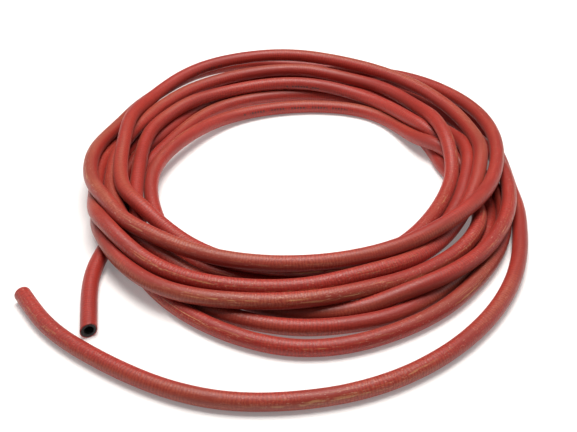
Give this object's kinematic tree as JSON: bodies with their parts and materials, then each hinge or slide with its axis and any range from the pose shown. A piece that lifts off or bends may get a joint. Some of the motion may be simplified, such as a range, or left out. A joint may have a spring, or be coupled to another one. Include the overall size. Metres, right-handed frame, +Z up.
{
  "type": "rubber gas tubing",
  "caption": "Round rubber gas hose wound by hand into a loose oval coil lying flat, with both plain cut ends free and open.",
  "frame": {"origin": "centre of the coiled hose's box, on the surface that it lies on", "axes": "+Z up from the surface, +Y along the coil's long way from front to back, +X across it to the right"},
  "size_m": [0.4526, 0.5373, 0.043],
  "materials": {
    "red_rubber": "matte, with a fine cloth-marked skin, lightly scuffed"
  },
  "bodies": {
    "root": {"coil": "red_rubber", "long_end": "red_rubber", "short_end": "red_rubber"}
  },
  "joints": []
}
